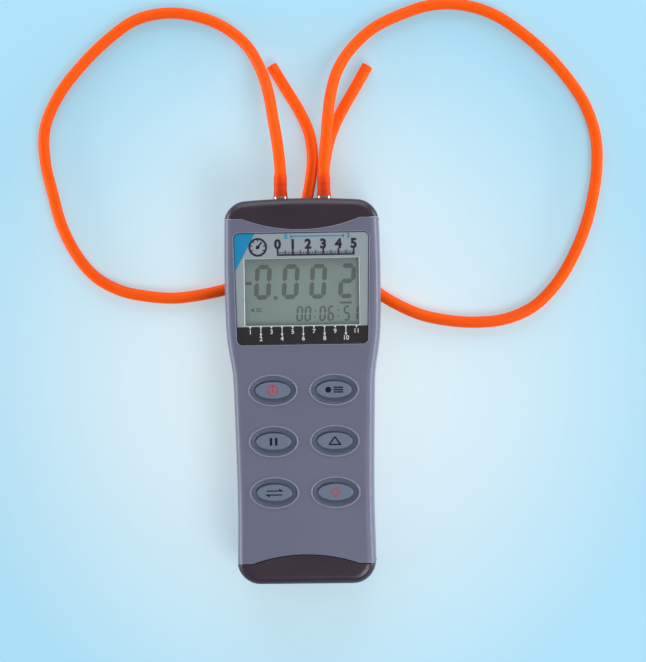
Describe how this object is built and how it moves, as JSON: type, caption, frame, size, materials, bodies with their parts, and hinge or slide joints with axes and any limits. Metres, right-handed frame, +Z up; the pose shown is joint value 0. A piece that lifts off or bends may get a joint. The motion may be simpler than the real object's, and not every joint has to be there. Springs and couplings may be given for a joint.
{
  "type": "digital manometer",
  "caption": "Hand-held digital differential manometer with a dark-capped housing, a wide display, dished oval keys and soft orange pressure hoses on its two ports.",
  "frame": {"origin": "on the table, under the middle of the meter's own box; the hoses aren't counted", "axes": "+Y along the case towards the ports, +X to the right of the display, +Z up out of the display"},
  "size_m": [0.2724, 0.2789, 0.037],
  "materials": {
    "case_plastic": "fine satin grain",
    "cap_plastic": "satin, dark plum",
    "door_plastic": "fine satin grain",
    "printed_sheet": "fine matt print",
    "clear_window": "clear, glossy",
    "lcd": "grey-green liquid crystal glass",
    "black_plastic": "matt",
    "black_rubber": "matt",
    "diffuser": "milky",
    "board": "coated board",
    "chips": "moulded black",
    "key_rubber": "satin, blue-grey",
    "silicone": "soft, translucent",
    "plated_metal": "nickel plated",
    "steel": "zinc plated",
    "cell_can": "satin can",
    "hose_rubber": "smooth, slightly glossy orange"
  },
  "bodies": {
    "meter": {"front_case": "case_plastic", "rear_case": "case_plastic", "top_end_cap": "cap_plastic", "bottom_end_cap": "cap_plastic", "display_overlay": "printed_sheet", "display_window": "clear_window", "lcd_panel": "lcd", "lcd_frame": "black_plastic", "zebra_strips": "black_rubber", "backlight_panel": "diffuser", "main_board": "board", "board_components": "chips", "keypad_mat": "silicone", "pressure_sensor": "black_plastic", "left_sensor_hose": "silicone", "right_sensor_hose": "silicone", "left_port": "plated_metal", "right_port": "plated_metal", "port_nuts": "plated_metal", "port_seals": "black_rubber", "battery_cells": "cell_can", "battery_springs": "plated_metal", "battery_plates": "plated_metal", "case_screws": "steel", "board_screws": "steel", "buzzer": "black_plastic", "left_tube": "hose_rubber", "right_tube": "hose_rubber"},
    "key_power": {"key_power": "key_rubber"},
    "key_record": {"key_record": "key_rubber"},
    "key_hold": {"key_hold": "key_rubber"},
    "key_difference": {"key_difference": "key_rubber"},
    "key_unit": {"key_unit": "key_rubber"},
    "key_light": {"key_light": "key_rubber"},
    "battery_door": {"battery_door": "door_plastic"}
  },
  "joints": [
    {"name": "key_power_press", "type": "slide", "parent": "meter", "child": "key_power", "axis": [0, 0.0404, -0.9992], "range_m": [0, 0.0008], "stiffness_N_per_m": 1000},
    {"name": "key_record_press", "type": "slide", "parent": "meter", "child": "key_record", "axis": [0, 0.0404, -0.9992], "range_m": [0, 0.0008], "stiffness_N_per_m": 1000},
    {"name": "key_hold_press", "type": "slide", "parent": "meter", "child": "key_hold", "axis": [0, 0.0404, -0.9992], "range_m": [0, 0.0008], "stiffness_N_per_m": 1000},
    {"name": "key_difference_press", "type": "slide", "parent": "meter", "child": "key_difference", "axis": [0, 0.0404, -0.9992], "range_m": [0, 0.0008], "stiffness_N_per_m": 1000},
    {"name": "key_unit_press", "type": "slide", "parent": "meter", "child": "key_unit", "axis": [0, 0.0404, -0.9992], "range_m": [0, 0.0008], "stiffness_N_per_m": 1000},
    {"name": "key_light_press", "type": "slide", "parent": "meter", "child": "key_light", "axis": [0, 0.0404, -0.9992], "range_m": [0, 0.0008], "stiffness_N_per_m": 1000},
    {"name": "battery_door_hinge", "type": "hinge", "parent": "meter", "child": "battery_door", "pos_m": [0, -0.07505, 0.00215], "axis": [-1, 0, 0], "range_deg": [0, 75]}
  ]
}
